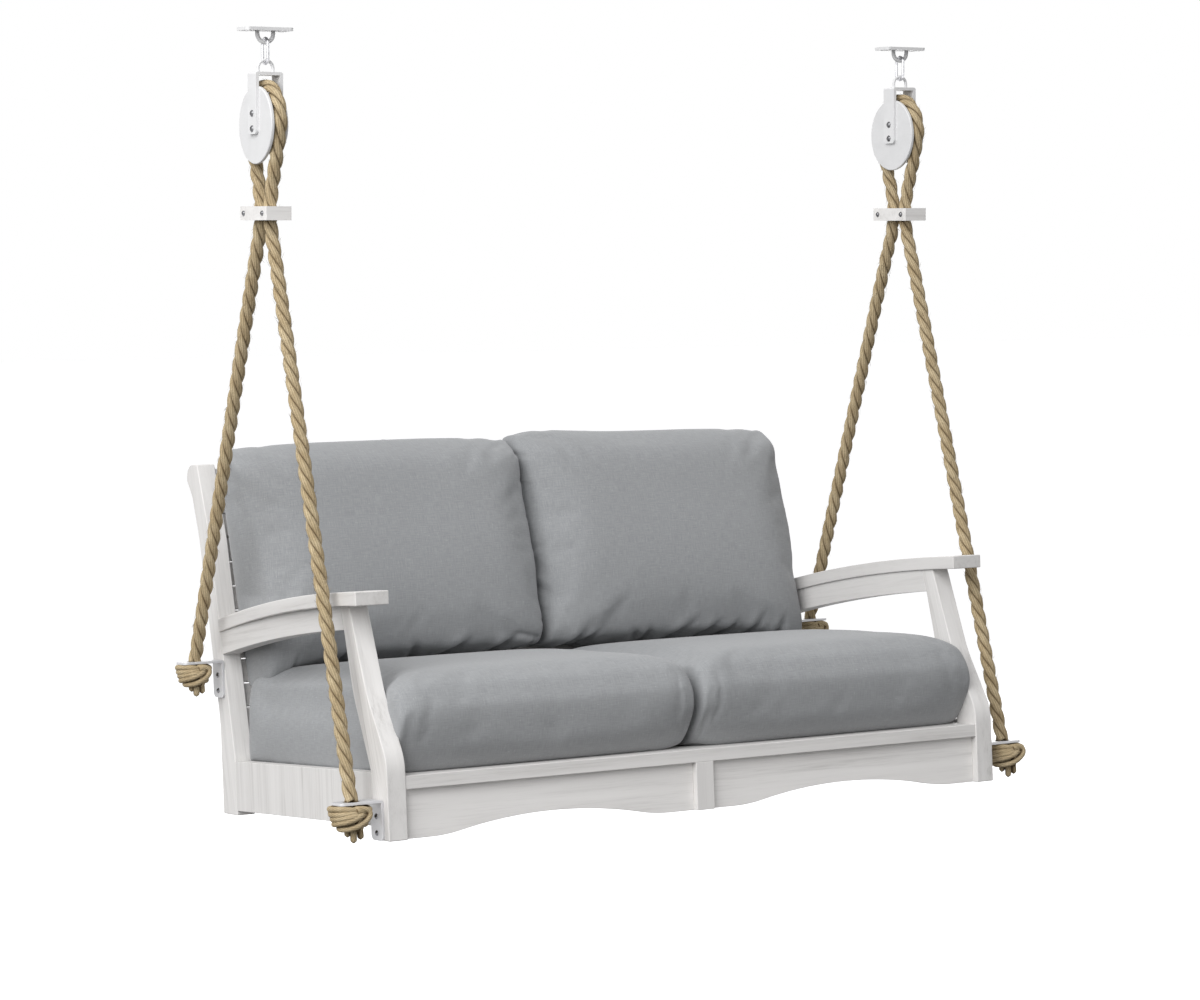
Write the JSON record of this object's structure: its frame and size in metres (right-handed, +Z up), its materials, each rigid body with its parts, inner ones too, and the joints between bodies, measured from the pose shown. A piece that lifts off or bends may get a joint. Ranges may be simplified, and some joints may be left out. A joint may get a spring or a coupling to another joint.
{
  "type": "loveseat swing",
  "caption": "Whitewashed wooden porch swing with scalloped apron, bowed arms and loose grey cushions, hung by ropes that go over round blocks to ceiling loops.",
  "frame": {"origin": "on the ceiling face, midway between the two ceiling plates", "axes": "+Z up, +X to the right in a front view, +Y to the rear of the seat"},
  "size_m": [1.524, 0.8785, 1.5068],
  "materials": {
    "whitewashed_wood": "whitewashed, matte, grey grain",
    "white_steel": "white satin coat",
    "white_plastic": "white, satin",
    "bright_steel": "bright zinc",
    "rope_fibre": "tan laid rope",
    "cushion_fabric": "grey woven cloth"
  },
  "bodies": {
    "ceiling_hangers": {"left_ceiling_hanger": "white_steel", "right_ceiling_hanger": "white_steel"},
    "left_link": {"left_chain_link": "bright_steel"},
    "left_hanging_gear": {"left_block_bolts": "bright_steel", "left_block_eye": "white_steel", "left_block_hub": "white_plastic", "left_block_strap": "white_steel", "left_clamp_bolts": "bright_steel", "left_clamp_inner_half": "white_plastic", "left_clamp_outer_half": "white_plastic", "left_inner_cheek": "white_plastic", "left_outer_cheek": "white_plastic", "left_rope": "rope_fibre"},
    "right_link": {"right_chain_link": "bright_steel"},
    "right_hanging_gear": {"right_block_bolts": "bright_steel", "right_block_eye": "white_steel", "right_block_hub": "white_plastic", "right_block_strap": "white_steel", "right_clamp_bolts": "bright_steel", "right_clamp_inner_half": "white_plastic", "right_clamp_outer_half": "white_plastic", "right_inner_cheek": "white_plastic", "right_outer_cheek": "white_plastic", "right_rope": "rope_fibre"},
    "seat": {"back_slats": "whitewashed_wood", "back_top_slat": "whitewashed_wood", "bracket_screws": "bright_steel", "centre_bearer": "whitewashed_wood", "centre_stile": "whitewashed_wood", "front_seat_rail": "whitewashed_wood", "left_apron": "whitewashed_wood", "left_arm_board": "whitewashed_wood", "left_arm_rail": "whitewashed_wood", "left_front_bracket": "white_steel", "left_front_knot": "rope_fibre", "left_front_post": "whitewashed_wood", "left_rear_bracket": "white_steel", "left_rear_knot": "rope_fibre", "left_rear_post": "whitewashed_wood", "left_seat_cleat": "whitewashed_wood", "left_side_rail": "whitewashed_wood", "rear_seat_rail": "whitewashed_wood", "right_apron": "whitewashed_wood", "right_arm_board": "whitewashed_wood", "right_arm_rail": "whitewashed_wood", "right_front_bracket": "white_steel", "right_front_knot": "rope_fibre", "right_front_post": "whitewashed_wood", "right_rear_bracket": "white_steel", "right_rear_knot": "rope_fibre", "right_rear_post": "whitewashed_wood", "right_seat_cleat": "whitewashed_wood", "right_side_rail": "whitewashed_wood", "seat_slats": "whitewashed_wood"},
    "left_back_cushion_loose": {"left_back_cushion": "cushion_fabric"},
    "left_seat_cushion_loose": {"left_seat_cushion": "cushion_fabric"},
    "right_back_cushion_loose": {"right_back_cushion": "cushion_fabric"},
    "right_seat_cushion_loose": {"right_seat_cushion": "cushion_fabric"}
  },
  "joints": [
    {"name": "swing", "type": "hinge", "parent": "ceiling_hangers", "child": "left_link", "pos_m": [-0.711, 0, -0.0268], "axis": [1, 0, 0], "range_deg": [-25, 25]},
    {"name": "sway", "type": "hinge", "parent": "left_link", "child": "left_hanging_gear", "pos_m": [-0.711, 0, -0.0655], "axis": [0, 0.9687, 0.2483], "range_deg": [-2.5, 2.5]},
    {"name": "seat_level", "type": "hinge", "parent": "left_hanging_gear", "child": "seat", "pos_m": [-0.71952, -0.35466, -1.38412], "axis": [0, 0.9687, 0.2483], "range_deg": [-2.5, 2.5]},
    {"name": "right_swing", "type": "hinge", "parent": "ceiling_hangers", "child": "right_link", "pos_m": [0.711, 0, -0.0268], "axis": [1, 0, 0], "range_deg": [-25, 25]},
    {"name": "right_sway", "type": "hinge", "parent": "right_link", "child": "right_hanging_gear", "pos_m": [0.711, 0, -0.0655], "axis": [0, 0.9687, 0.2483], "range_deg": [-2.5, 2.5]},
    {"name": "left_seat_cushion_pull", "type": "slide", "parent": "seat", "child": "left_seat_cushion_loose", "axis": [0, -0.9947, 0.1028], "range_m": [0, 0.3]},
    {"name": "left_back_cushion_lift", "type": "slide", "parent": "seat", "child": "left_back_cushion_loose", "axis": [0, 0.2588, 0.9659], "range_m": [0, 0.25]},
    {"name": "right_seat_cushion_pull", "type": "slide", "parent": "seat", "child": "right_seat_cushion_loose", "axis": [0, -0.9947, 0.1028], "range_m": [0, 0.3]},
    {"name": "right_back_cushion_lift", "type": "slide", "parent": "seat", "child": "right_back_cushion_loose", "axis": [0, 0.2588, 0.9659], "range_m": [0, 0.25]}
  ],
  "couplings": [
    {"joint": "seat_level", "follows": "sway", "ratio": -1},
    {"joint": "right_swing", "follows": "swing", "ratio": 1},
    {"joint": "right_sway", "follows": "sway", "ratio": 1}
  ]
}
